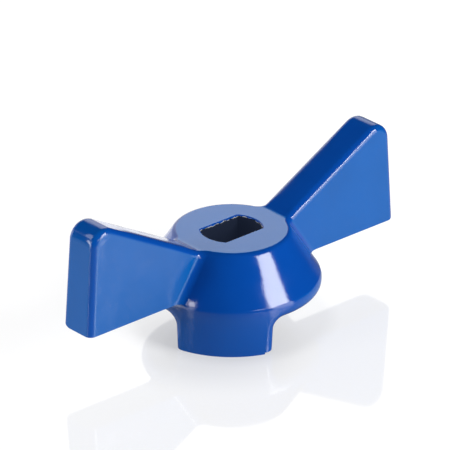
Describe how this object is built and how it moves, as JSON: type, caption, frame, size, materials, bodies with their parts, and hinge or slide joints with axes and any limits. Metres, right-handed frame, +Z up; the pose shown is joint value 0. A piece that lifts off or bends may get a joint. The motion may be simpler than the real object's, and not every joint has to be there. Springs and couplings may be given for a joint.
{
  "type": "butterfly tap handle",
  "caption": "Cast butterfly handle for a small quarter-turn tap: flat-topped conical hub with a flatted through socket, rising plate wings and stop lugs under the rim, painted blue.",
  "frame": {"origin": "on the spindle axis, at the plane the two stop lugs stand on", "axes": "+X along the wings, +Z up along the spindle axis through the flat top of the hub, +Y completes a right-handed frame; the pictured lug lies towards -X -Y"},
  "size_m": [0.0586, 0.0261, 0.0232],
  "materials": {
    "blue_enamel": "glossy blue baked paint on a die casting, light orange peel"
  },
  "bodies": {
    "root": {"butterfly_handle": "blue_enamel"}
  },
  "joints": []
}
